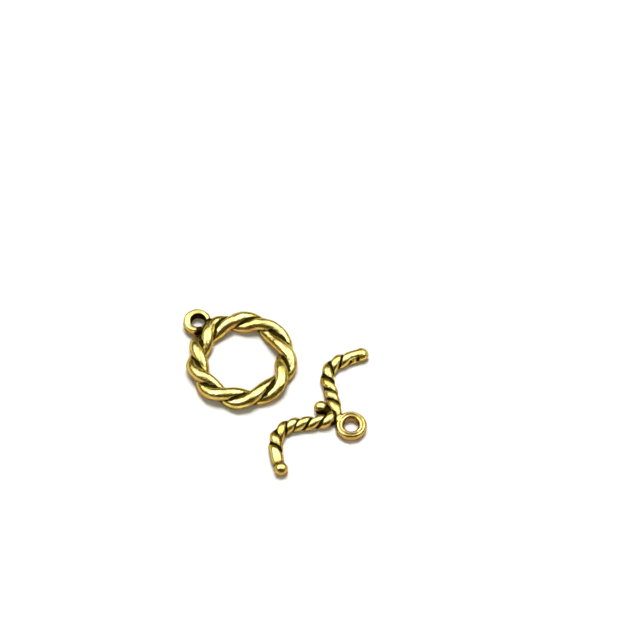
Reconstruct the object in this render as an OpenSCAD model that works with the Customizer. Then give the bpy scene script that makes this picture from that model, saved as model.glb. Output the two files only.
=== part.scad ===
// Toggle clasp: a ring cast as a twisted rope, and the bow-shaped bar that locks through it.
// Each half is one casting with an eye for a jump ring. The halves lie flat, side by side.

/* [Ring] */
// Diameter of the ring along the middle of its rope
ring_d = 12.8; // [11:0.1:20]
// Thickness of the ring's rope over its two strands
ring_rope_d = 2.85; // [2.4:0.05:3.4]
// Thickness of one strand of the ring's rope
ring_strand_d = 1.65; // [1.5:0.05:2]
// Times that a strand passes over the top of the ring's rope in one round
ring_crossings = 9; // [5:1:13]
// Direction from the ring's middle of one such crossing
ring_crossing_angle = 7; // [0:1:40]

/* [Eyes] */
// Radius that rounds the rims of both eyes
eye_rim_r = 0.4; // [0.2:0.05:0.45]

/* [Ring eye] */
// Direction of the eye from the ring's middle
ring_eye_angle = 135; // [100:1:170]
// Outside diameter of the ring's eye
ring_eye_d = 3.8; // [3.4:0.1:5]
// Bore of the ring's eye, for a jump ring
ring_eye_bore = 2; // [1.4:0.1:2.4]
// Thickness of the ring's eye along its bore
ring_eye_t = 1.5; // [1.2:0.1:2]
// Depth that the ring's eye is cast into the rope
ring_eye_sink = 0.4; // [0.3:0.05:0.6]
// Thickness of the metal that joins the ring's eye to the rope
ring_neck_d = 1.3; // [1:0.05:1.5]

/* [Bar] */
// Reach of each end of the bar past the ring's hole
bar_grip = 5.75; // [4.5:0.05:9]
// Thickness of the bar's rope over its strands
bar_rope_d = 1.9; // [1.6:0.05:2.2]
// Thickness of one strand of the bar's rope
bar_strand_d = 1.25; // [1.1:0.05:1.5]
// Length of one full turn of the bar's rope
bar_pitch = 3.4; // [3:0.1:6]
// Turn of the strands about the rope at the middle of the bar
bar_lay = 130; // [0:1:180]
// Radius of the middle bend at the centre of the rope
bar_bend_r = 1.6; // [1.3:0.1:2]
// Radius of each hump at the centre of the rope
bar_hump_r = 2.6; // [2:0.1:3]
// Slope of the rope between the middle bend and a hump
bar_inner_slope = 47; // [42:1:55]
// Slope of the rope between a hump and the end of the bar
bar_outer_slope = 40; // [30:1:45]
// Length of the plain round stem from the last groove to the middle of the end bead
bar_stem_l = 3.4; // [2:0.1:4]
// Thickness of the stem where it meets the end bead
bar_stem_d = 1.45; // [1.2:0.05:1.7]

/* [Beads] */
// Diameter of the bead on each end of the bar
end_bead_d = 1.8; // [1.7:0.05:2.6]
// Diameter of the bead inside the middle bend
centre_bead_d = 1.8; // [1.5:0.05:2.2]
// Thickness of the short stem that holds the centre bead
centre_stem_d = 1.1; // [0.8:0.05:1.4]
// Gap between the centre bead and the rope of the middle bend
centre_bead_gap = 0.5; // [0.3:0.05:0.8]
// Distance of the centre bead from the line of the eye, towards one side of the bend
centre_bead_side = 0.4; // [0:0.05:0.6]

/* [Bar eye] */
// Outside diameter of the bar's eye
bar_eye_d = 4.25; // [3.8:0.1:5]
// Bore of the bar's eye, for a jump ring
bar_eye_bore = 2.1; // [1.4:0.1:2.6]
// Thickness of the bar's eye along its bore
bar_eye_t = 1.25; // [1:0.05:1.8]
// Depth that the bar's eye is cast into the rope
bar_eye_sink = 0.2; // [0.15:0.05:0.4]
// Thickness of the metal that joins the bar's eye to the rope
bar_neck_d = 1.2; // [0.9:0.05:1.25]

/* [Lie on the surface] */
// Direction from the ring's middle to the bar's
lie_angle = -35; // [-55:1:-20]
// Direction that the bar's eye points in
bar_turn = -32; // [-50:1:-15]
// Clear space between the ring and the bar's humps, along the line of their middles
lie_gap = 2; // [1:0.1:8]

/* [Hidden] */
$fn = 48;

// Points round each rope, cross-sections round the ring, and distance between them along the bar
ring_points = 24;
ring_sections = 90;
bar_points = 16;
bar_step = 0.19;
// Length in which a groove runs out at the stem
groove_end = 0.8;

ring_rope_r = ring_rope_d / 2;
ring_hole_d = ring_d - ring_rope_d;
ring_outer_r = ring_d / 2 + ring_rope_r;
ring_eye_at = ring_outer_r + ring_eye_d / 2 - ring_eye_sink;

bar_rope_r = bar_rope_d / 2;
bar_half = ring_hole_d / 2 + bar_grip;
bar_h = max(bar_rope_d, end_bead_d, centre_bead_d, bar_eye_t) / 2;

// The half bar from its middle bend: arc, straight, arc over the hump, straight to the end bead.
// The ring's rope rests in the hump, so the hump stands at the ring's own radius.
hump_x = ring_d / 2;
inner_run = (hump_x - (bar_bend_r + bar_hump_r) * sin(bar_inner_slope)) / cos(bar_inner_slope);
bar_bow = (bar_bend_r + bar_hump_r) * (1 - cos(bar_inner_slope)) + inner_run * sin(bar_inner_slope);
outer_run = (bar_half - hump_x - bar_hump_r * sin(bar_outer_slope)) / cos(bar_outer_slope);
hump_depth = bar_hump_r * (1 - cos(bar_outer_slope)) + outer_run * sin(bar_outer_slope);
bend_top = bar_bow - hump_depth;
bend_end = [bar_bend_r * sin(bar_inner_slope), bend_top - bar_bend_r * (1 - cos(bar_inner_slope))];
arc_1 = bar_bend_r * bar_inner_slope * PI / 180;
arc_2 = bar_hump_r * (bar_inner_slope + bar_outer_slope) * PI / 180;
half_length = arc_1 + inner_run + arc_2 + outer_run;

bar_eye_at = bend_top + bar_rope_r + bar_eye_d / 2 - bar_eye_sink;
centre_bead_at = bend_top - bar_rope_r - centre_bead_gap - centre_bead_d / 2;

// Place of the bar's middle, measured from the ring's middle
bar_from_ring = ring_outer_r + lie_gap + hump_depth + bar_rope_r;
bar_place = bar_from_ring * [cos(lie_angle), sin(lie_angle)];

// A point of the bar, given in its own plane, as seen from the ring's middle
function bar_spot(p) = let (a = bar_turn - 90)
    bar_place + [p[0] * cos(a) - p[1] * sin(a), p[0] * sin(a) + p[1] * cos(a)];

// Round outlines that the pair's reach on the surface is taken from: middle and radius
outlines = [
    [[0, 0], ring_outer_r],
    [ring_eye_at * [cos(ring_eye_angle), sin(ring_eye_angle)], ring_eye_d / 2],
    [bar_spot([0, bar_eye_at]), bar_eye_d / 2],
    [bar_spot([-bar_half, 0]), end_bead_d / 2],
    [bar_spot([bar_half, 0]), end_bead_d / 2],
    [bar_spot([-hump_x, -hump_depth]), bar_rope_r],
    [bar_spot([hump_x, -hump_depth]), bar_rope_r]
];
middle = [for (k = [0, 1])
    (min([for (o = outlines) o[0][k] - o[1]]) + max([for (o = outlines) o[0][k] + o[1]])) / 2];

// Direction of the rope at a distance along the half bar
function half_slope(s) =
    s < arc_1 ? -s / bar_bend_r * 180 / PI
    : s < arc_1 + inner_run ? -bar_inner_slope
    : s < arc_1 + inner_run + arc_2
        ? -bar_inner_slope + (s - arc_1 - inner_run) / bar_hump_r * 180 / PI
    : bar_outer_slope;

// Point of the rope's centre at a distance along the half bar
function half_point(s) =
    s < arc_1 ? [bar_bend_r * sin(-half_slope(s)), bend_top - bar_bend_r * (1 - cos(half_slope(s)))]
    : s < arc_1 + inner_run ? bend_end + (s - arc_1) * [cos(bar_inner_slope), -sin(bar_inner_slope)]
    : s < arc_1 + inner_run + arc_2
        ? [hump_x + bar_hump_r * sin(half_slope(s)), -hump_depth + bar_hump_r * (1 - cos(half_slope(s)))]
    : [bar_half, 0] - (half_length - s) * [cos(bar_outer_slope), sin(bar_outer_slope)];

// The whole bar, with s running from one end bead through 0 to the other
function bar_point(s) = s < 0 ? [-half_point(-s)[0], half_point(-s)[1]] : half_point(s);
function bar_slope(s) = s < 0 ? -half_slope(-s) : half_slope(s);

// Radius of a rope's outline at an angle from one of its two strands, which are sunk into each other
function pair_outline(a, strand_r, rope_r) =
    let (off = a - 180 * round(a / 180), strand_at = rope_r - strand_r)
    strand_at * cos(off) + sqrt(strand_r * strand_r - pow(strand_at * sin(off), 2));

// Share of the plain stem in the bar's section at a distance from its middle: 0 on the rope, 1 on the stem
function stem_share(s) = max(0, min(1, (abs(s) - half_length + bar_stem_l) / groove_end));

// Triangles between two sections of n points each, from their first points a and b, turned by some points
function band(a, b, n, turn = 0) = [
    for (j = [0 : n - 1])
        let (k = (j + 1) % n, jb = (j + turn) % n, kb = (j + 1 + turn) % n)
        each [[a + j, b + kb, b + jb], [a + j, a + k, b + kb]]
];

module ring_rope() {
    points = [
        for (i = [0 : ring_sections - 1], j = [0 : ring_points - 1])
            let (t = 360 * i / ring_sections,
                 a = 360 * j / ring_points,
                 r = pair_outline(a, ring_strand_d / 2, ring_rope_r),
                 w = a + 90 + 180 * ring_crossings / 360 * (t - ring_crossing_angle))
            [(ring_d / 2 + r * cos(w)) * cos(t), (ring_d / 2 + r * cos(w)) * sin(t), r * sin(w)]
    ];
    last = (ring_sections - 1) * ring_points;
    // The last section meets the first with its strands swapped where the number of crossings is odd
    faces = concat(
        [for (i = [1 : ring_sections - 1]) each band((i - 1) * ring_points, i * ring_points, ring_points)],
        band(last, 0, ring_points, ring_crossings % 2 * ring_points / 2)
    );
    polyhedron(points, faces, convexity = 6);
}

module bar_rope() {
    steps = 2 * ceil(half_length / bar_step);
    points = [
        for (i = [0 : steps], j = [0 : bar_points - 1])
            let (s = (2 * i / steps - 1) * half_length,
                 a = 360 * j / bar_points,
                 e = stem_share(s),
                 taper = (half_length - abs(s)) / bar_stem_l,
                 plain = bar_stem_d / 2 * (1 - taper) + bar_rope_r * taper,
                 r = (1 - e) * pair_outline(a, bar_strand_d / 2, bar_rope_r) + e * plain,
                 w = a + bar_lay + 360 * s / bar_pitch,
                 p = bar_point(s),
                 m = bar_slope(s))
            [p[0] + r * cos(w) * sin(m), p[1] - r * cos(w) * cos(m), r * sin(w)]
    ];
    last = steps * bar_points;
    caps = [
        [for (j = [bar_points - 1 : -1 : 0]) j],
        [for (j = [0 : bar_points - 1]) last + j]
    ];
    bands = [for (i = [1 : steps]) each band((i - 1) * bar_points, i * bar_points, bar_points)];
    polyhedron(points, concat(bands, caps), convexity = 8);
}

// A thick eye with rounded rims, standing on the origin's plane about its middle
module eye(d, bore, t) {
    rim_r = min(eye_rim_r, (d - bore) / 4);
    rotate_extrude() {
        for (x = [bore / 2 + rim_r, d / 2 - rim_r], z = [rim_r - t / 2, t / 2 - rim_r])
            translate([x, z]) circle(r = rim_r);
        translate([bore / 2, rim_r - t / 2]) square([(d - bore) / 2, t - 2 * rim_r]);
        translate([bore / 2 + rim_r, -t / 2]) square([(d - bore) / 2 - 2 * rim_r, t]);
    }
}

// A round neck along x, from a rope's centre to the middle of an eye's wall
module neck(from, eye_at, eye_d, eye_bore, d) {
    translate([from, 0, 0]) rotate([0, 90, 0])
        cylinder(h = eye_at - (eye_d + eye_bore) / 4 - from, d = d);
}

// Moves what is drawn about the ring's middle so that the pair stands over the origin
module on_surface(h) {
    translate([-middle[0], -middle[1], h]) children();
}

module toggle_ring() {
    color("goldenrod") on_surface(ring_rope_r) {
        ring_rope();
        rotate(ring_eye_angle) {
            translate([ring_eye_at, 0, 0]) eye(ring_eye_d, ring_eye_bore, ring_eye_t);
            neck(ring_d / 2, ring_eye_at, ring_eye_d, ring_eye_bore, ring_neck_d);
        }
    }
}

module toggle_bar() {
    color("darkgoldenrod") on_surface(bar_h) translate(bar_place) rotate(bar_turn - 90) {
        bar_rope();
        rotate(90) {
            translate([bar_eye_at, 0, 0]) eye(bar_eye_d, bar_eye_bore, bar_eye_t);
            neck(bend_top, bar_eye_at, bar_eye_d, bar_eye_bore, bar_neck_d);
        }
        translate([-centre_bead_side, centre_bead_at, 0]) {
            sphere(d = centre_bead_d);
            rotate([-90, 0, 0]) cylinder(h = bend_top - centre_bead_at, d = centre_stem_d);
        }
        for (turn = [0, 180]) rotate(turn) translate([bar_half, 0, 0]) sphere(d = end_bead_d);
    }
}

toggle_ring();
toggle_bar();
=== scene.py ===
# Toggle clasp in antiqued gold: a ring of laid rope with its eye, and the bow-shaped rope bar.
# Everything is drawn in millimetres, then each casting is scaled to metres.
import math

import bmesh
import bpy
import numpy as np
from mathutils import Matrix, Vector, kdtree, noise
from mathutils.bvhtree import BVHTree


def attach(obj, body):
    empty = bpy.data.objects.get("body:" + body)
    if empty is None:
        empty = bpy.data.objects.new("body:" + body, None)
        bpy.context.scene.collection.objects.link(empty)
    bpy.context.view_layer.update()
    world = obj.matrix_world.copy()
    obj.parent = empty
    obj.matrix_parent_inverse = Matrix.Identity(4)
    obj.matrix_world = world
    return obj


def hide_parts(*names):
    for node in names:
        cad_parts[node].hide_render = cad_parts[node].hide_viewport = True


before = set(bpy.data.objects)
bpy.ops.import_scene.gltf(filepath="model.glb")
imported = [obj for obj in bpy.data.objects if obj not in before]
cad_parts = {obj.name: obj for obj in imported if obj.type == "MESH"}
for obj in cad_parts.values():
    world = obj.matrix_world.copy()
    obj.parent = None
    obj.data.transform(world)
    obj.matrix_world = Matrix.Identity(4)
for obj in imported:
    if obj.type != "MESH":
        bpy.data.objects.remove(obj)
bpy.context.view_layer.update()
print("frame: nodes", sorted(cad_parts))


def addNode(tree, kind, inputs=None, **settings):
    node = tree.nodes.new(kind)
    for name, value in settings.items():
        setattr(node, name, value)
    for socket, value in (inputs or {}).items():
        if isinstance(value, bpy.types.NodeSocket):
            tree.links.new(value, node.inputs[socket])
        else:
            node.inputs[socket].default_value = value
    return node


def calc(tree, operation, *values):
    node = addNode(tree, "ShaderNodeMath", dict(enumerate(values)), operation=operation)
    return node.outputs[0]


def vectorCalc(tree, operation, *values):
    node = addNode(tree, "ShaderNodeVectorMath", dict(enumerate(values)), operation=operation)
    return node.outputs[0]


def addMesh(name, vertices, faces):
    mesh = bpy.data.meshes.new(name)
    mesh.from_pydata([tuple(v) for v in vertices], [], faces)
    mesh.update()
    return mesh


def addObject(name, data):
    thing = bpy.data.objects.new(name, data)
    bpy.context.scene.collection.objects.link(thing)
    return thing


def finalMesh(thing):
    return bpy.data.meshes.new_from_object(thing.evaluated_get(bpy.context.evaluated_depsgraph_get()))


def takeMesh(bm, name):
    mesh = bpy.data.meshes.new(name)
    bm.to_mesh(mesh)
    bm.free()
    return mesh


def meshPoints(mesh):
    flat = np.zeros(len(mesh.vertices) * 3, np.float32)
    mesh.vertices.foreach_get("co", flat)
    return flat.reshape(-1, 3).astype(float)


def makeRopeTree():
    tree = bpy.data.node_groups.new("laidStrands", "GeometryNodeTree")
    sockets = tree.interface
    sockets.new_socket("Geometry", in_out="OUTPUT", socket_type="NodeSocketGeometry")
    sockets.new_socket("Path", in_out="INPUT", socket_type="NodeSocketGeometry")
    for name in ("Strands", "Steps", "Sides"):
        sockets.new_socket(name, in_out="INPUT", socket_type="NodeSocketInt")
    for name in ("Lay radius", "Lay height", "Strand radius", "Bulge", "Core radius",
                 "First stem", "First run-out", "Last stem", "Last run-out",
                 "Stem radius at rope", "Stem radius at bead", "Unevenness", "Seed"):
        sockets.new_socket(name, in_out="INPUT", socket_type="NodeSocketFloat")
    sockets.new_socket("Material", in_out="INPUT", socket_type="NodeSocketMaterial")
    given = tree.nodes.new("NodeGroupInput").outputs

    path = addNode(tree, "GeometryNodeResampleCurve", {"Curve": given["Path"], "Count": given["Steps"]})
    share = tree.nodes.new("GeometryNodeSplineParameter").outputs["Factor"]
    length = tree.nodes.new("GeometryNodeSplineLength").outputs["Length"]
    fromFirst = calc(tree, "MULTIPLY", length, share)
    fromLast = calc(tree, "SUBTRACT", length, fromFirst)

    # how far the rope has become the plain stem: 0 on the rope, 1 on the stem
    pastFirst = calc(tree, "SUBTRACT", given["First stem"], fromFirst)
    pastLast = calc(tree, "SUBTRACT", given["Last stem"], fromLast)
    intoStem = calc(tree, "MAXIMUM", calc(tree, "DIVIDE", pastFirst, given["First run-out"]),
                    calc(tree, "DIVIDE", pastLast, given["Last run-out"]))
    stemShare = addNode(tree, "ShaderNodeMapRange", {"Value": intoStem},
                        interpolation_type="SMOOTHSTEP").outputs["Result"]
    alongStem = calc(tree, "MINIMUM",
                     calc(tree, "DIVIDE", fromFirst, calc(tree, "MAXIMUM", given["First stem"], 0.001)),
                     calc(tree, "DIVIDE", fromLast, calc(tree, "MAXIMUM", given["Last stem"], 0.001)))
    stemRadius = addNode(tree, "ShaderNodeMapRange", {
        "Value": alongStem, "To Min": given["Stem radius at bead"], "To Max": given["Stem radius at rope"],
    }).outputs["Result"]

    # each strand winds about the path in the plane across it
    strands = addNode(tree, "GeometryNodeDuplicateElements",
                      {"Geometry": path.outputs["Curve"], "Amount": given["Strands"]}, domain="SPLINE")
    whichOne = calc(tree, "DIVIDE", strands.outputs["Duplicate Index"], given["Strands"])
    lay = tree.nodes.new("GeometryNodeInputCurveTilt").outputs["Tilt"]
    angle = calc(tree, "MULTIPLY_ADD", whichOne, 2 * math.pi, lay)
    tangent = tree.nodes.new("GeometryNodeInputTangent").outputs["Tangent"]
    sideways = vectorCalc(tree, "NORMALIZE", vectorCalc(tree, "CROSS_PRODUCT", tangent, (0.0, 0.0, 1.0)))
    ropeShare = calc(tree, "SUBTRACT", 1.0, stemShare)
    layRadius = calc(tree, "MULTIPLY", given["Lay radius"], ropeShare)
    layHeight = calc(tree, "MULTIPLY", given["Lay height"], ropeShare)
    reach = calc(tree, "MULTIPLY", calc(tree, "COSINE", angle), layRadius)
    rise = calc(tree, "MULTIPLY", calc(tree, "SINE", angle), layHeight)
    across = addNode(tree, "ShaderNodeVectorMath", {0: sideways, "Scale": reach}, operation="SCALE")
    upward = addNode(tree, "ShaderNodeCombineXYZ", {"Z": rise})
    offset = vectorCalc(tree, "ADD", across.outputs[0], upward.outputs[0])
    wound = addNode(tree, "GeometryNodeSetPosition", {
        "Geometry": strands.outputs["Geometry"], "Offset": offset})

    # strand thickness: a little uneven, as modelled by hand before casting
    place = tree.nodes.new("GeometryNodeInputPosition").outputs[0]
    uneven = addNode(tree, "ShaderNodeTexNoise", {
        "Vector": place, "W": given["Seed"], "Scale": 0.55, "Detail": 1.0}, noise_dimensions="4D")
    swing = calc(tree, "SUBTRACT", uneven.outputs["Fac"], 0.5)
    swell = calc(tree, "MULTIPLY_ADD", swing, given["Unevenness"], 1.0)
    atSides = calc(tree, "COSINE", calc(tree, "MULTIPLY", angle, 2.0))  # -1 above and below, 1 at the sides
    bulge = calc(tree, "SUBTRACT", 1.0, calc(tree, "MULTIPLY", atSides, given["Bulge"]))
    strandRadius = calc(tree, "MULTIPLY", calc(tree, "MULTIPLY", given["Strand radius"], swell), bulge)
    thickness = addNode(tree, "ShaderNodeMapRange",
                        {"Value": stemShare, "To Min": strandRadius, "To Max": stemRadius}).outputs["Result"]
    section = addNode(tree, "GeometryNodeCurvePrimitiveCircle",
                      {"Resolution": given["Sides"], "Radius": 1.0}).outputs["Curve"]
    sized = addNode(tree, "GeometryNodeCaptureAttribute", {"Geometry": wound.outputs["Geometry"]})
    sized.capture_items.new("FLOAT", "thickness")
    tree.links.new(thickness, sized.inputs["thickness"])
    untwisted = addNode(tree, "GeometryNodeSetCurveTilt", {"Curve": sized.outputs["Geometry"], "Tilt": 0.0})
    strandTubes = addNode(tree, "GeometryNodeCurveToMesh", {
        "Curve": untwisted.outputs["Curve"], "Profile Curve": section,
        "Scale": sized.outputs["thickness"], "Fill Caps": True})

    # core that the grooves end on
    coreThickness = addNode(tree, "ShaderNodeMapRange", {
        "Value": stemShare, "To Min": given["Core radius"], "To Max": stemRadius}).outputs["Result"]
    coreTube = addNode(tree, "GeometryNodeCurveToMesh", {
        "Curve": path.outputs["Curve"], "Profile Curve": section,
        "Scale": coreThickness, "Fill Caps": True})
    both = tree.nodes.new("GeometryNodeJoinGeometry")
    tree.links.new(strandTubes.outputs["Mesh"], both.inputs[0])
    tree.links.new(coreTube.outputs["Mesh"], both.inputs[0])
    real = addNode(tree, "GeometryNodeRealizeInstances", {"Geometry": both.outputs[0]})
    finish = addNode(tree, "GeometryNodeSetMaterial", {
        "Geometry": real.outputs["Geometry"], "Material": given["Material"]})
    tree.links.new(finish.outputs["Geometry"], tree.nodes.new("NodeGroupOutput").inputs["Geometry"])
    return tree


def layAngles(knots, places):
    # a smooth course through (place, angle) knots that never turns back, however uneven the knots
    at, angle = np.array(knots, float).T
    rate = np.diff(angle) / np.diff(at)
    slope = np.concatenate((rate[:1], 2 * rate[:-1] * rate[1:] / (rate[:-1] + rate[1:]), rate[-1:]))
    left = np.clip(np.searchsorted(at, places, side="right") - 1, 0, len(at) - 2)
    gap = at[left + 1] - at[left]
    t = (np.asarray(places, float) - at[left]) / gap
    return ((2 * t ** 3 - 3 * t ** 2 + 1) * angle[left] + (t ** 3 - 2 * t ** 2 + t) * gap * slope[left]
            + (3 * t ** 2 - 2 * t ** 3) * angle[left + 1] + (t ** 3 - t ** 2) * gap * slope[left + 1])


def layRope(name, points, angles, closed, settings):
    curve = bpy.data.curves.new(name + "Path", "CURVE")
    curve.dimensions = "3D"
    spline = curve.splines.new("POLY")
    spline.points.add(len(points) - 1)
    spline.points.foreach_set("co", [c for x, y, z in points for c in (x, y, z, 1.0)])
    spline.points.foreach_set("tilt", [float(a) for a in angles])
    spline.use_cyclic_u = closed
    rope = addObject(name + "Path", curve)
    modifier = rope.modifiers.new("laidStrands", "NODES")
    modifier.node_group = ropeTree
    for item in ropeTree.interface.items_tree:
        if item.in_out == "INPUT" and item.name in settings:
            modifier[item.identifier] = settings[item.name]
    mesh = finalMesh(rope)
    bpy.data.objects.remove(rope)
    return mesh


def turnedEye(middle, settings, segments=160, around=96):
    # the wall's section is an ellipse, made squarer, with a shallow groove turned into both faces
    vertices, faces = [], []
    outer, bore, power = settings["eyeOuter"], settings["eyeBore"], 2 / settings["eyeSquareness"]
    wide, half = (outer - bore) / 2, settings["eyeThick"] / 2
    profile = []
    for k in range(around):
        a = 2 * math.pi * k / around
        c, h = math.cos(a), math.sin(a)
        r = bore + wide + wide * math.copysign(abs(c) ** power, c)
        fromGroove = (r - settings["eyeGrooveAt"]) / settings["eyeGrooveWidth"]
        sunk = settings["eyeGrooveDepth"] * math.exp(-fromGroove ** 2)
        profile.append((r, (half - sunk) * math.copysign(abs(h) ** power, h), (outer - r) / (outer - bore)))
    shiftX, shiftY = settings["boreShift"]
    for i in range(segments):
        a = 2 * math.pi * i / segments
        for r, h, inward in profile:
            vertices.append((middle[0] + r * math.cos(a) + shiftX * inward,
                             middle[1] + r * math.sin(a) + shiftY * inward, middle[2] + h))
        n = (i + 1) % segments
        for k in range(around):
            j = (k + 1) % around
            faces.append((i * around + k, n * around + k, n * around + j, i * around + j))
    return addMesh("eye", vertices, faces)


def roundBead(middle, radius):
    bm = bmesh.new()
    bmesh.ops.create_icosphere(bm, subdivisions=5, radius=radius, matrix=Matrix.Translation(middle))
    return takeMesh(bm, "bead")


def neck(start, end, radius):
    start, end = Vector(start), Vector(end)
    along = end - start
    turn = along.to_track_quat("Z", "Y").to_matrix().to_4x4()
    bm = bmesh.new()
    bmesh.ops.create_cone(bm, cap_ends=True, segments=40, radius1=radius, radius2=radius,
                          depth=along.length, matrix=Matrix.Translation((start + end) / 2) @ turn)
    return takeMesh(bm, "neck")


def edgeEnds(mesh):
    ends = np.zeros(len(mesh.edges) * 2, np.int32)
    mesh.edges.foreach_get("vertices", ends)
    return ends[0::2], ends[1::2]


def neighbourMean(values, ends):
    first, second = ends
    count = len(values)
    weight = np.bincount(first, minlength=count) + np.bincount(second, minlength=count)
    total = np.zeros_like(values)
    for column in range(values.shape[1]):
        total[:, column] = (np.bincount(first, values[second, column], count)
                            + np.bincount(second, values[first, column], count))
    return total / weight[:, None]


def smoothOut(points, ends, rounds, soften=0.5, giveBack=0.52):
    # takes the voxel steps out, and gives back what that shrinks
    for step in range(rounds):
        points += soften * (neighbourMean(points, ends) - points)
        points -= giveBack * (neighbourMean(points, ends) - points)


def shelterOf(mesh, points, normals, reach, rays=26, goldenTurn=2.399963, lift=0.02):
    # share of the open side of each point that the casting itself closes off
    tree = BVHTree.FromPolygons([tuple(p) for p in points], [tuple(f.vertices) for f in mesh.polygons])
    spiral = []
    for k in range(rays):
        height = math.sqrt((k + 0.5) / rays)
        across, turn = math.sqrt(1 - height * height), k * goldenTurn
        spiral.append((across * math.cos(turn), across * math.sin(turn), height))
    spiral = np.array(spiral)
    helper = np.where(np.abs(normals[:, 2:3]) < 0.9, (0.0, 0.0, 1.0), (1.0, 0.0, 0.0))
    side = np.cross(helper, normals)
    side /= np.linalg.norm(side, axis=1)[:, None]
    other = np.cross(normals, side)
    closed = np.zeros(len(points))
    starts = points + normals * lift
    for i in range(len(points)):
        start = Vector(starts[i])
        for way in spiral @ np.array((side[i], other[i], normals[i])):
            if tree.ray_cast(start, way, reach)[0] is not None:
                closed[i] += 1
    return closed / rays


def fuseParts(name, parts, voxel):
    bm = bmesh.new()
    for mesh in parts:
        bm.from_mesh(mesh)
    bmesh.ops.recalc_face_normals(bm, faces=bm.faces)
    piece = addObject(name, takeMesh(bm, name + "Rough"))
    fuse = piece.modifiers.new("fuse", "REMESH")
    fuse.mode = "VOXEL"
    fuse.voxel_size = voxel
    fuse.adaptivity = 0.0
    fused = finalMesh(piece)
    piece.modifiers.remove(fuse)
    piece.data = fused
    fused.name = name
    return piece


def shelterWithCrotches(mesh, points, normals, ends, reach, crotches, rounds=4, soften=0.5, deepest=0.7):
    shelter = shelterOf(mesh, points, normals, reach)[:, None]
    for step in range(rounds):
        shelter += soften * (neighbourMean(shelter, ends) - shelter)
    shelter = shelter[:, 0]
    # painted shade, with patina, is deepened in these tight corners
    for spot, spotReach in crotches:  # patina also pools in these tight corners
        near = 1 - np.linalg.norm(points - np.array(spot), axis=1) / spotReach
        shelter = np.maximum(shelter, np.clip(near * 2, 0, deepest))
    return shelter


grainStretch = 0.12  # how much the streaks are drawn out


def alongRope(points, rope, patinaDepth):
    # how deep a point lies under the rope's outline, 1 where the patina begins
    path = rope["path"]
    tree = kdtree.KDTree(len(path))
    for index, point in enumerate(path):
        tree.insert(point, index)
    tree.balance()
    nearest = np.array([tree.find(point)[1] for point in points])
    offset = points - path[nearest]
    recess = (rope["radius"][nearest] - np.linalg.norm(offset, axis=1)) / patinaDepth

    # a grain that runs with the strands
    tangent = np.roll(path, -1, axis=0) - np.roll(path, 1, axis=0)
    tangent[0], tangent[-1] = path[1] - path[0], path[-1] - path[-2]
    tangent /= np.linalg.norm(tangent, axis=1)[:, None]
    outward = offset[:, 0] * tangent[nearest, 1] - offset[:, 1] * tangent[nearest, 0]
    phase = np.arctan2(offset[:, 2], outward) - rope["angles"][nearest]
    spacing = np.linalg.norm(path[1] - path[0])
    grain = np.stack((np.cos(phase), np.sin(phase), nearest * spacing * grainStretch), axis=1)
    return recess, grain


def roundEye(points, settings, eyeAt, boreRim=0.34, boreFade=0.26, pastEdge=0.1):
    # painted shade in the bore, and shade with patina in the groove, with a grain that runs round the hole
    offset = points - np.array(eyeAt)
    radial = np.hypot(offset[:, 0], offset[:, 1])
    fromBore = np.hypot(*(offset[:, :2] - np.array(settings["boreShift"])).T)
    inBore = np.clip((settings["eyeBore"] + boreRim - fromBore) / boreFade, 0, 1)
    inGroove = np.exp(-((radial - settings["eyeGrooveAt"]) / (0.9 * settings["eyeGrooveWidth"])) ** 2)
    shade = np.maximum(inBore * settings["boreShade"], inGroove * settings["grooveShade"])
    turn = np.arctan2(offset[:, 1], offset[:, 0])
    grain = np.stack((radial, offset[:, 2], turn * grainStretch), axis=1)
    return radial < settings["eyeOuter"] + pastEdge, shade, grain


def placePoints(mesh, points):
    mesh.vertices.foreach_set("co", points.astype(np.float32).ravel())
    mesh.update()


def addAttribute(mesh, label, kind, field, values):
    attribute = mesh.attributes.new(label, kind, "POINT")
    attribute.data.foreach_set(field, values.astype(np.float32).ravel())


def castInOnePiece(name, parts, settings, rope, eyeAt, crotches):
    piece = fuseParts(name, parts, settings["voxel"])
    cast = piece.data
    points, ends = meshPoints(cast), edgeEnds(cast)
    smoothOut(points, ends, settings["smoothing"])
    placePoints(cast, points)
    normals = np.zeros(len(points) * 3, np.float32)
    cast.vertices.foreach_get("normal", normals)
    normals = normals.reshape(-1, 3).astype(float)

    # how closed off each point is: the finish paints shade and patina from it
    shelter = shelterWithCrotches(cast, points, normals, ends, settings["shelterReach"], crotches)
    recess, grain = alongRope(points, rope, settings["patinaDepth"])
    onEye, eyeShade, eyeGrain = roundEye(points, settings, eyeAt)
    grain[onEye] = eyeGrain[onEye]
    addAttribute(cast, "shelter", "FLOAT", "value", np.maximum(shelter, eyeShade))
    addAttribute(cast, "recess", "FLOAT", "value", recess)
    addAttribute(cast, "grain", "FLOAT_VECTOR", "vector", grain)

    # slow waves of a hand-finished master, with finer ones of half their height
    slow, fine = settings["waveScale"], settings["waveScale"] * 3.1
    wave = np.array([noise.noise(p * slow) + 0.5 * noise.noise(p * fine) for p in map(Vector, points)])
    points += normals * (wave * settings["waveHeight"])[:, None]
    placePoints(cast, points * 0.001)
    cast.polygons.foreach_set("use_smooth", [True] * len(cast.polygons))
    cast.materials.clear()
    cast.materials.append(antiqueGold)
    triangles = sum(len(p.vertices) - 2 for p in cast.polygons)
    print(name + ":", len(cast.vertices), "points,", triangles, "triangles")
    return piece


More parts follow.
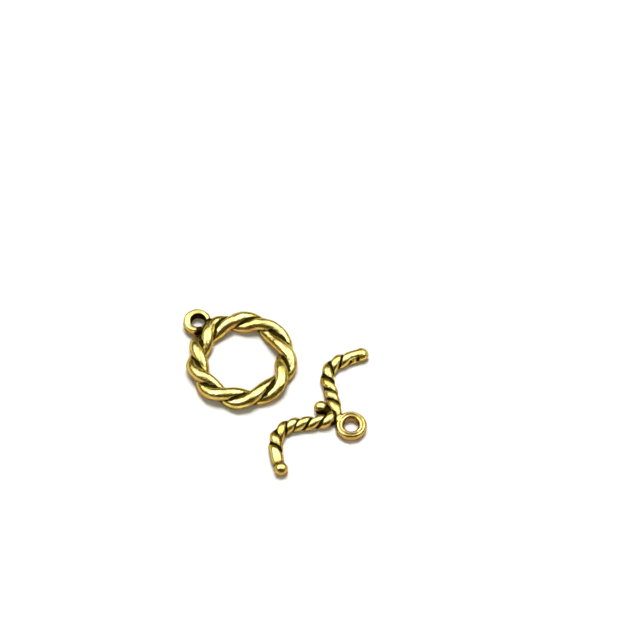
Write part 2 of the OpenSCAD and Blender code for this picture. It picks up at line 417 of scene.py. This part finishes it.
goldFinish = {
    "gold": (0.84, 0.735, 0.29),
    "deepGold": (0.70, 0.58, 0.15),
    # brown tarnish tones, also used to paint shade on downward faces and in sheltered places
    "tarnishAndShade": (0.30, 0.185, 0.028),
    "copperTarnishAndShade": (0.37, 0.185, 0.065),
    # rosy tone for painted reflection and shade on the lower sides
    "rosyWearAndReflection": (0.60, 0.34, 0.17),
    "glancing": (0.44, 0.34, 0.20),
    # dark patina colour, also used for painted shade in sheltered corners
    "patinaAndShade": (0.032, 0.023, 0.002),
    # noise scales: over a metre, and for the streaks in the grain that each casting carries
    "speckleScale": 3200.0,
    "edgeScale": 1500.0,
    "cloudScale": 520.0,
    "patchScale": 230.0,
    "streakScale": 3.8,
    "streakInEdge": 0.7,
    # each shade: how ragged its edge is, where it begins and where it is full
    "groovePatina": (1.1, 0.85, 1.10),  # over the depth under the rope's outline
    # painted shade with patina: darker the more the casting closes a point off
    "cornerPatinaAndShade": (0.4, 0.31, 0.48),  # over the share that is closed off
    # painted shade: faces that look down are browned and darkened
    "undersideShade": (0.8, 0.46, -0.05),  # over how far a face looks up
    # painted shade with tarnish: sheltered places are browned
    "tuckedShade": (0.4, 0.13, 0.38),
    "cloudFilm": (0.8, 0.62, 0.85),
    # painted reflection and shade: steep and downward faces turn rosy
    "lowerSides": (0.6, 0.78, 0.22),
    # how strongly each film and painted shade shows
    "undersideShare": 0.95,
    "tuckedShare": 0.9,
    "cloudShare": 0.4,
    "rosyShare": 0.75,
    # where in the clouds and patches one tone turns to the next
    "deepGoldFrom": (0.40, 0.70),
    "copperFrom": (0.38, 0.56),
    "rosyFrom": (0.47, 0.60),
    "roughness": 0.19,
    "roughSpeckle": 0.14,
    "roughFilm": 0.10,
    "roughPatina": 0.60,
    "pits": {"Strength": 0.3, "Distance": 0.00002},
    "lines": {"Strength": 0.5, "Distance": 0.00011},
}


def blendColour(tree, factor, first, second):
    node = addNode(tree, "ShaderNodeMix", {"Factor": factor}, data_type="RGBA")
    for socket, colour in ((node.inputs[6], first), (node.inputs[7], second)):
        if isinstance(colour, bpy.types.NodeSocket):
            tree.links.new(colour, socket)
        else:
            socket.default_value = (*colour, 1.0)
    return node.outputs[2]


def ramp(tree, value, low, high):
    return addNode(tree, "ShaderNodeMapRange", {"Value": value, "From Min": low, "From Max": high},
                   interpolation_type="SMOOTHSTEP").outputs["Result"]


def noiseFac(tree, place, scale, detail, roughness=0.5):
    return addNode(tree, "ShaderNodeTexNoise", {
        "Vector": place, "Scale": scale, "Detail": detail, "Roughness": roughness}).outputs["Fac"]


def shade(tree, name, value, uneven):
    ragged, begins, full = goldFinish[name]
    return ramp(tree, calc(tree, "MULTIPLY_ADD", uneven, ragged, value), begins, full)


def makeAntiqueGold():
    material = bpy.data.materials.new("antiqueGold")
    material.use_nodes = True
    tree = material.node_tree
    shader = tree.nodes["Principled BSDF"]
    shader.inputs["Metallic"].default_value = 1.0
    shader.inputs["Specular Tint"].default_value = (*goldFinish["glancing"], 1.0)
    place = tree.nodes.new("ShaderNodeTexCoord").outputs["Object"]
    shelter = addNode(tree, "ShaderNodeAttribute", attribute_name="shelter").outputs["Fac"]
    recess = addNode(tree, "ShaderNodeAttribute", attribute_name="recess").outputs["Fac"]
    facing = addNode(tree, "ShaderNodeSeparateXYZ",
                     {"Vector": tree.nodes.new("ShaderNodeNewGeometry").outputs["Normal"]}).outputs["Z"]

    speckle = noiseFac(tree, place, goldFinish["speckleScale"], 4.0, 0.6)
    clouds = noiseFac(tree, place, goldFinish["cloudScale"], 3.0)
    patches = noiseFac(tree, place, goldFinish["patchScale"], 2.0)
    edge = calc(tree, "SUBTRACT", noiseFac(tree, place, goldFinish["edgeScale"], 3.0), 0.5)
    grain = addNode(tree, "ShaderNodeAttribute", attribute_name="grain").outputs["Vector"]
    streak = calc(tree, "SUBTRACT", noiseFac(tree, grain, goldFinish["streakScale"], 4.0, 0.7), 0.5)

    # patina sits in the grooves; where parts meet and in sheltered corners the darkening is painted shade as
    # well as patina, with a slightly ragged edge
    uneven = calc(tree, "MULTIPLY_ADD", streak, goldFinish["streakInEdge"], edge)
    dark = calc(tree, "MAXIMUM", shade(tree, "groovePatina", recess, uneven),
                shade(tree, "cornerPatinaAndShade", shelter, uneven))
    # brown film: painted shade on downward faces and in sheltered places, and tarnish in random clouds
    filmsAndShades = [calc(tree, "MULTIPLY", shade(tree, name, value, edges), goldFinish[share])
             for name, value, edges, share in (("undersideShade", facing, uneven, "undersideShare"),
                                               ("tuckedShade", shelter, uneven, "tuckedShare"),
                                               ("cloudFilm", clouds, streak, "cloudShare"))]
    filmAndShade = calc(tree, "MAXIMUM", filmsAndShades[0], calc(tree, "MAXIMUM", filmsAndShades[1], filmsAndShades[2]))

    gold = blendColour(tree, ramp(tree, clouds, *goldFinish["deepGoldFrom"]),
                       goldFinish["gold"], goldFinish["deepGold"])
    brown = blendColour(tree, ramp(tree, patches, *goldFinish["copperFrom"]),
                        goldFinish["tarnishAndShade"], goldFinish["copperTarnishAndShade"])
    wornAndShaded = blendColour(tree, filmAndShade, gold, brown)

    # painted reflection and shade: the lower sides take a darker rosy tone, broken into random patches
    rosy = calc(tree, "MULTIPLY", shade(tree, "lowerSides", facing, uneven),
                ramp(tree, patches, *goldFinish["rosyFrom"]))
    rosy = calc(tree, "MULTIPLY", rosy, goldFinish["rosyShare"])
    wornAndShaded = blendColour(tree, rosy, wornAndShaded, goldFinish["rosyWearAndReflection"])
    tree.links.new(blendColour(tree, dark, wornAndShaded, goldFinish["patinaAndShade"]), shader.inputs["Base Color"])

    smoothest = goldFinish["roughness"] - goldFinish["roughSpeckle"] / 2
    rough = calc(tree, "ADD", calc(tree, "MULTIPLY_ADD", speckle, goldFinish["roughSpeckle"], smoothest),
                 calc(tree, "MULTIPLY", filmAndShade, goldFinish["roughFilm"]))
    roughness = addNode(tree, "ShaderNodeMapRange", {
        "Value": dark, "To Min": rough, "To Max": goldFinish["roughPatina"]})
    tree.links.new(roughness.outputs["Result"], shader.inputs["Roughness"])

    pits = addNode(tree, "ShaderNodeBump", {**goldFinish["pits"], "Height": speckle})
    lines = addNode(tree, "ShaderNodeBump", {
        **goldFinish["lines"], "Height": streak, "Normal": pits.outputs["Normal"]})
    tree.links.new(lines.outputs["Normal"], shader.inputs["Normal"])
    return material


antiqueGold = makeAntiqueGold()
ropeTree = makeRopeTree()
print("finish and rope tree made")


ring = {
    "middle": (-4.619, 4.654, 1.445),
    "ropeShift": 0.12,
    "swells": ((117, 13, 0.30), (72, 12, 0.20)),  # place and spread in degrees, bulge in millimetres
    "pathRadius": 6.3,
    "crossings": (12, 62, 101, 141, 172, 208, 249, 289, 335),  # where a strand lies on top, in degrees
    "eyeAngle": 135,
    "eyeMiddle": (-11.08, 11.11, 1.42),
    "eyeOuter": 1.97,
    "eyeBore": 0.98,
    "boreShift": (0.17, -0.02),
    "eyeThick": 1.55,
    "eyeSquareness": 3.0,
    "eyeGrooveAt": 1.3,
    "eyeGrooveWidth": 0.1,
    "eyeGrooveDepth": 0.03,
    "grooveShade": 0.0,
    "boreShade": 0.58,
    "neckRadius": 0.65,
    # where painted shade and patina are deepened: in the notches between the rope and its eye
    "notchAt": 1.35,  # beyond the rope's path
    "notchSides": ((0.75, 0.75, 0.3), (-0.6, -0.6, 0.3)),
    "notchReach": 0.85,
    "ropeRadius": 1.475,
    "patinaDepth": 0.57,
    "voxel": 0.078,
    "smoothing": 3,
    "shelterReach": 2.3,
    "waveScale": 0.55,
    "waveHeight": 0.035,
}
ringRope = {
    "Strands": 1, "Steps": 1080, "Sides": 40, "Lay radius": 0.74, "Lay height": 0.52, "Strand radius": 0.89,
    "Bulge": 0.03, "Core radius": 0.74, "First stem": 0.0, "First run-out": 1.0, "Last stem": 0.0,
    "Last run-out": 1.0, "Stem radius at rope": 1.0, "Stem radius at bead": 1.0,
    "Unevenness": 0.08, "Seed": 4.0, "Material": antiqueGold,
}


def makeRing():
    mx, my, mz = ring["middle"]
    count = ringRope["Steps"] // 2
    lap = []
    for i in range(count):
        a = 2 * math.pi * i / count
        radius = ring["pathRadius"]
        for place, spread, rise in ring["swells"]:
            radius += rise * math.exp(-((math.degrees(a) - place) / spread) ** 2)
        lap.append((mx + radius * math.cos(a), my + ring["ropeShift"] + radius * math.sin(a), mz))
    # one strand goes twice round: with an odd number of crossings it comes back as its own partner
    perLap = len(ring["crossings"])
    knots = [(place + 360 * turn, math.radians(90 + 180 * (k + perLap * turn)))
             for turn in range(-1, 3) for k, place in enumerate(ring["crossings"])]
    angles = layAngles(knots, [360 * i / count for i in range(2 * count)])
    rope = layRope("ring", lap + lap, angles, True, ringRope)
    out = Vector((math.cos(math.radians(ring["eyeAngle"])), math.sin(math.radians(ring["eyeAngle"])), 0))
    middle, eyeMiddle = Vector(ring["middle"]), Vector(ring["eyeMiddle"])
    intoWall = (ring["eyeOuter"] + ring["eyeBore"]) / 2
    joint = neck(middle + out * ring["pathRadius"], eyeMiddle - out * intoWall, ring["neckRadius"])
    notches = [(middle + out * (ring["pathRadius"] + ring["notchAt"]) + Vector(side), ring["notchReach"])
               for side in ring["notchSides"]]
    course = {"path": np.array(lap), "angles": angles[:count], "radius": np.full(count, ring["ropeRadius"])}
    parts = [rope, turnedEye(eyeMiddle, ring), joint]
    return castInOnePiece("toggle_ring_cast", parts, ring, course, eyeMiddle, notches)


ringPiece = makeRing()


bar = {
    "middle": (6.60, -3.12, 1.06),
    "turn": -123.4,
    "humpX": 6.4,
    "bendRadius": 1.6,
    "bendTop": 2.07,
    "upperArm": {"length": 10.7, "innerSlope": 46, "humpRadius": 2.7, "outerSlope": 36, "tipTurn": 0},
    "lowerArm": {"length": 11.22, "innerSlope": 48.5, "humpRadius": 3.1, "outerSlope": 40, "tipTurn": 20},
    "tipRun": 2.2,
    "pathStep": 0.05,
    # along the rope from its middle; past the last grooves the lay straightens out towards the beads
    "grooves": (-10.3, -8.3, -6.1, -4.0, -2.4, -0.2, 1.6, 3.6, 5.4, 6.9, 8.9, 10.7),
    "upperStemLay": ((-14.8, -130), (-11.4, -112)),
    "lowerStemLay": ((11.5, 62), (15.0, 90)),
    "endBead": 0.98,
    "centreBead": 0.95,
    "centreBeadGap": 0.34,
    "centreBeadSide": 0.28,
    "centreStem": 0.55,
    # where painted shade and patina are deepened: behind and under the centre bead, and round the necks of
    # the end beads
    "centreCrotch": 0.95,
    "underBead": {"x": 0.75, "y": 0.35, "z": -0.5, "reach": 0.9},
    "beadNeck": 0.75,
    "beadNeckReach": 0.98,
    "eyeMiddle": (10.80, -5.68, 0.98),
    "eyeOuter": 2.2,
    "eyeBore": 1.02,
    "eyeThick": 1.35,
    "eyeSquareness": 2.3,
    "boreShift": (0.0, 0.0),
    "eyeGrooveAt": 1.62,
    "eyeGrooveWidth": 0.1,
    "eyeGrooveDepth": 0.17,
    "grooveShade": 0.36,
    "boreShade": 0.36,
    "neckRadius": 0.6,
    "ropeRadius": 1.03,
    "patinaDepth": 0.159,
    "voxel": 0.060,
    "smoothing": 3,
    "shelterReach": 2.3,
    "waveScale": 0.6,
    "waveHeight": 0.02,
}
barRope = {
    "Strands": 2, "Steps": 900, "Sides": 32, "Lay radius": 0.35, "Lay height": 0.39, "Strand radius": 0.68,
    "Bulge": 0.0, "Core radius": 0.74, "First stem": 2.6, "First run-out": 5.5, "Last stem": 2.9,
    "Last run-out": 1.1, "Stem radius at rope": 1.02, "Stem radius at bead": 0.70,
    "Unevenness": 0.12, "Seed": 9.0, "Material": antiqueGold,
}


def armPath(arm):
    # one arm from the middle bend: arc, straight, arc over the hump, straight to the end bead
    inner, outer = math.radians(arm["innerSlope"]), math.radians(arm["outerSlope"])
    bend, hump = bar["bendRadius"], arm["humpRadius"]
    innerRun = (bar["humpX"] - (bend + hump) * math.sin(inner)) / math.cos(inner)
    outerRun = (arm["length"] - bar["humpX"] - hump * math.sin(outer)) / math.cos(outer)
    lengths = (bend * inner, innerRun, hump * (inner + outer), outerRun)
    total = sum(lengths)
    count = math.ceil(total / bar["pathStep"])
    spot = np.array((0.0, bar["bendTop"]))
    spots = [tuple(spot)]
    step = total / count
    for i in range(count):
        s = (i + 0.5) * step
        if s < lengths[0]:
            slope = -s / bend
        elif s < lengths[0] + lengths[1]:
            slope = -inner
        elif s < sum(lengths[:3]):
            slope = -inner + (s - lengths[0] - lengths[1]) / hump
        else:
            intoTip = max(0.0, (s - total + bar["tipRun"]) / bar["tipRun"])
            slope = outer + math.radians(arm["tipTurn"]) * intoTip
        spot = spot + step * np.array((math.cos(slope), math.sin(slope)))
        spots.append(tuple(spot))
    return spots, [i * step for i in range(count + 1)]


def inBarFrame(x, y, z=0.0):
    a = math.radians(bar["turn"])
    return (bar["middle"][0] + x * math.cos(a) - y * math.sin(a),
            bar["middle"][1] + x * math.sin(a) + y * math.cos(a), bar["middle"][2] + z)


def makeBar():
    upper, upperPlaces = armPath(bar["upperArm"])
    lower, lowerPlaces = armPath(bar["lowerArm"])
    path = [inBarFrame(-x, y) for x, y in reversed(upper[1:])] + [inBarFrame(x, y) for x, y in lower]
    along = [-place for place in reversed(upperPlaces[1:])] + lowerPlaces
    knots = [(place, math.radians(lay)) for place, lay in bar["upperStemLay"]]
    knots += [(place, math.pi * turn) for turn, place in enumerate(bar["grooves"])]
    lastGroove = math.pi * (len(bar["grooves"]) - 1)
    knots += [(place, lastGroove + math.radians(lay)) for place, lay in bar["lowerStemLay"]]
    angles = layAngles(knots, along)
    rope = layRope("bar", path, angles, False, barRope)
    side = -bar["centreBeadSide"]
    rimAt = bar["bendTop"] - bar["ropeRadius"]
    beadAt = rimAt - bar["centreBeadGap"] - bar["centreBead"]
    bendMiddle, eyeMiddle = Vector(inBarFrame(0, bar["bendTop"])), Vector(bar["eyeMiddle"])
    parts = [
        rope,
        turnedEye(eyeMiddle, bar),
        neck(bendMiddle, bendMiddle.lerp(eyeMiddle, 0.5), bar["neckRadius"]),
        roundBead(inBarFrame(side, beadAt), bar["centreBead"]),
        neck(inBarFrame(side, beadAt), inBarFrame(side, bar["bendTop"]), bar["centreStem"]),
        roundBead(path[0], bar["endBead"]),
        roundBead(path[-1], bar["endBead"]),
    ]
    radius = []
    for place in along:
        intoFirst = (place - along[0]) / barRope["First stem"]
        intoLast = (along[-1] - place) / barRope["Last stem"]
        share = min(1.0, intoFirst, intoLast)
        radius.append(barRope["Stem radius at bead"] * (1 - share) + bar["ropeRadius"] * share)
    course = {"path": np.array(path), "angles": angles, "radius": np.array(radius)}
    under = bar["underBead"]
    neckStep = round(bar["beadNeck"] / bar["pathStep"])
    crotches = [
        (inBarFrame(side, rimAt - bar["centreBeadGap"] / 2), bar["centreCrotch"]),
        (inBarFrame(side + under["x"], beadAt + under["y"], under["z"]), under["reach"]),
        (path[neckStep], bar["beadNeckReach"]),
        (path[-1 - neckStep], bar["beadNeckReach"]),
    ]
    return castInOnePiece("toggle_bar_cast", parts, bar, course, eyeMiddle, crotches)


barPiece = makeBar()

for piece, node in ((ringPiece, "toggle_ring"), (barPiece, "toggle_bar")):
    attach(piece, "root")
    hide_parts(node)
print("castings in place")


studio = {  # lengths in metres, and a radiance of 1 shows white
    "height": 0.40,
    "radiance": 3.1,
    "nearEdge": -0.12,
    "farEdge": 0.46,
    "gap": 0.13,
    "reach": 0.60,
    "gapShare": 0.38,
    "tableKey": {"x": 0.006, "y": 0.060, "half": 0.088, "radiance": 28.5},
    "tableFill": 0.90,
    "fillColour": (0.96, 1.0, 0.79),
    "tableHalf": 2.0,
    "tableColour": (0.80, 0.80, 0.80),
    "tableMirrored": (0.74, 0.69, 0.45),
    "paleFrom": (0.15, 0.50),
    "roomColour": (0.085, 0.060, 0.025),
}


def makeTable():
    half = studio["tableHalf"]
    corners = [(-half, -half, 0), (half, -half, 0), (half, half, 0), (-half, half, 0)]
    table = addObject("table", addMesh("table", corners, [(0, 1, 2, 3)]))
    material = bpy.data.materials.new("whiteCard")
    material.use_nodes = True
    shader = material.node_tree.nodes["Principled BSDF"]
    tree = material.node_tree
    rays = tree.nodes.new("ShaderNodeLightPath").outputs
    # painted reflection: the metal sees the card in a darker, yellower copy of its colour
    seen = blendColour(tree, rays["Is Glossy Ray"], studio["tableColour"], studio["tableMirrored"])
    tree.links.new(seen, shader.inputs["Base Color"])
    # far from the castings, where the lights end, the card stays as pale as beside them
    place = tree.nodes.new("ShaderNodeTexCoord").outputs["Object"]
    away = addNode(tree, "ShaderNodeVectorMath", {0: place}, operation="LENGTH").outputs["Value"]
    shader.inputs["Emission Color"].default_value = (1.0, 1.0, 1.0, 1.0)
    tree.links.new(calc(tree, "MULTIPLY", rays["Is Camera Ray"], ramp(tree, away, *studio["paleFrom"])),
                   shader.inputs["Emission Strength"])
    shader.inputs["Roughness"].default_value = 0.9
    shader.inputs["Specular IOR Level"].default_value = 0.0
    table.data.materials.append(material)


def addBox(name, lowX, highX, lowY, highY, radiance, mirrored=True):
    # a box is either mirrored in the metal or lights the table, so that each is set by itself
    light = bpy.data.lights.new(name, "AREA")
    light.shape = "RECTANGLE"
    light.size = highX - lowX
    light.size_y = highY - lowY
    light.energy = radiance * math.pi * light.size * light.size_y
    box = addObject(name, light)
    box.location = ((lowX + highX) / 2, (lowY + highY) / 2, studio["height"])
    box.visible_camera = False
    box.visible_glossy = mirrored
    box.visible_diffuse = not mirrored


def makeRoom():
    world = bpy.data.worlds.new("room")
    world.use_nodes = True
    tree = world.node_tree
    tree.nodes.clear()
    white, room = (1.0, 1.0, 1.0, 1.0), (*studio["roomColour"], 1.0)
    seen = addNode(tree, "ShaderNodeBackground", {"Color": white, "Strength": 1.0})
    mirrored = addNode(tree, "ShaderNodeBackground", {"Color": room, "Strength": 1.0})
    ray = tree.nodes.new("ShaderNodeLightPath").outputs["Is Camera Ray"]
    choice = addNode(tree, "ShaderNodeMixShader", {0: ray, 1: mirrored.outputs[0], 2: seen.outputs[0]})
    tree.links.new(choice.outputs[0], tree.nodes.new("ShaderNodeOutputWorld").inputs["Surface"])
    bpy.context.scene.world = world


makeTable()
near, far, gap, reach = (studio[key] for key in ("nearEdge", "farEdge", "gap", "reach"))
addBox("leftBox", -reach, -gap, near, far, studio["radiance"])
addBox("rightBox", gap, reach, near, far, studio["radiance"])
addBox("middleBox", -gap, gap, near, far, studio["radiance"] * studio["gapShare"])
key = studio["tableKey"]
addBox("tableKey", key["x"] - key["half"], key["x"] + key["half"],
       key["y"] - key["half"], key["y"] + key["half"], key["radiance"], mirrored=False)
addBox("tableFill", -reach, reach, -reach, reach, studio["tableFill"], mirrored=False)
bpy.data.lights["tableFill"].color = studio["fillColour"]
makeRoom()

cameraView = {"aim": (0.00645, 0.01155, 0.001375), "elevation": 58, "distance": 0.4, "lens": 157.5}


def makeCamera():
    data = bpy.data.cameras.new("camera")
    data.lens = cameraView["lens"]
    data.sensor_width = 36
    data.clip_start = 0.01
    data.clip_end = 10
    camera = addObject("camera", data)
    up = math.radians(cameraView["elevation"])
    towardsCamera = Vector((0, -math.cos(up), math.sin(up)))
    camera.location = Vector(cameraView["aim"]) + cameraView["distance"] * towardsCamera
    camera.rotation_euler = (math.pi / 2 - up, 0, 0)
    bpy.context.scene.camera = camera


makeCamera()
bpy.context.scene.view_settings.view_transform = "Standard"
bpy.context.scene.view_settings.look = "None"
print("table, light and camera made")
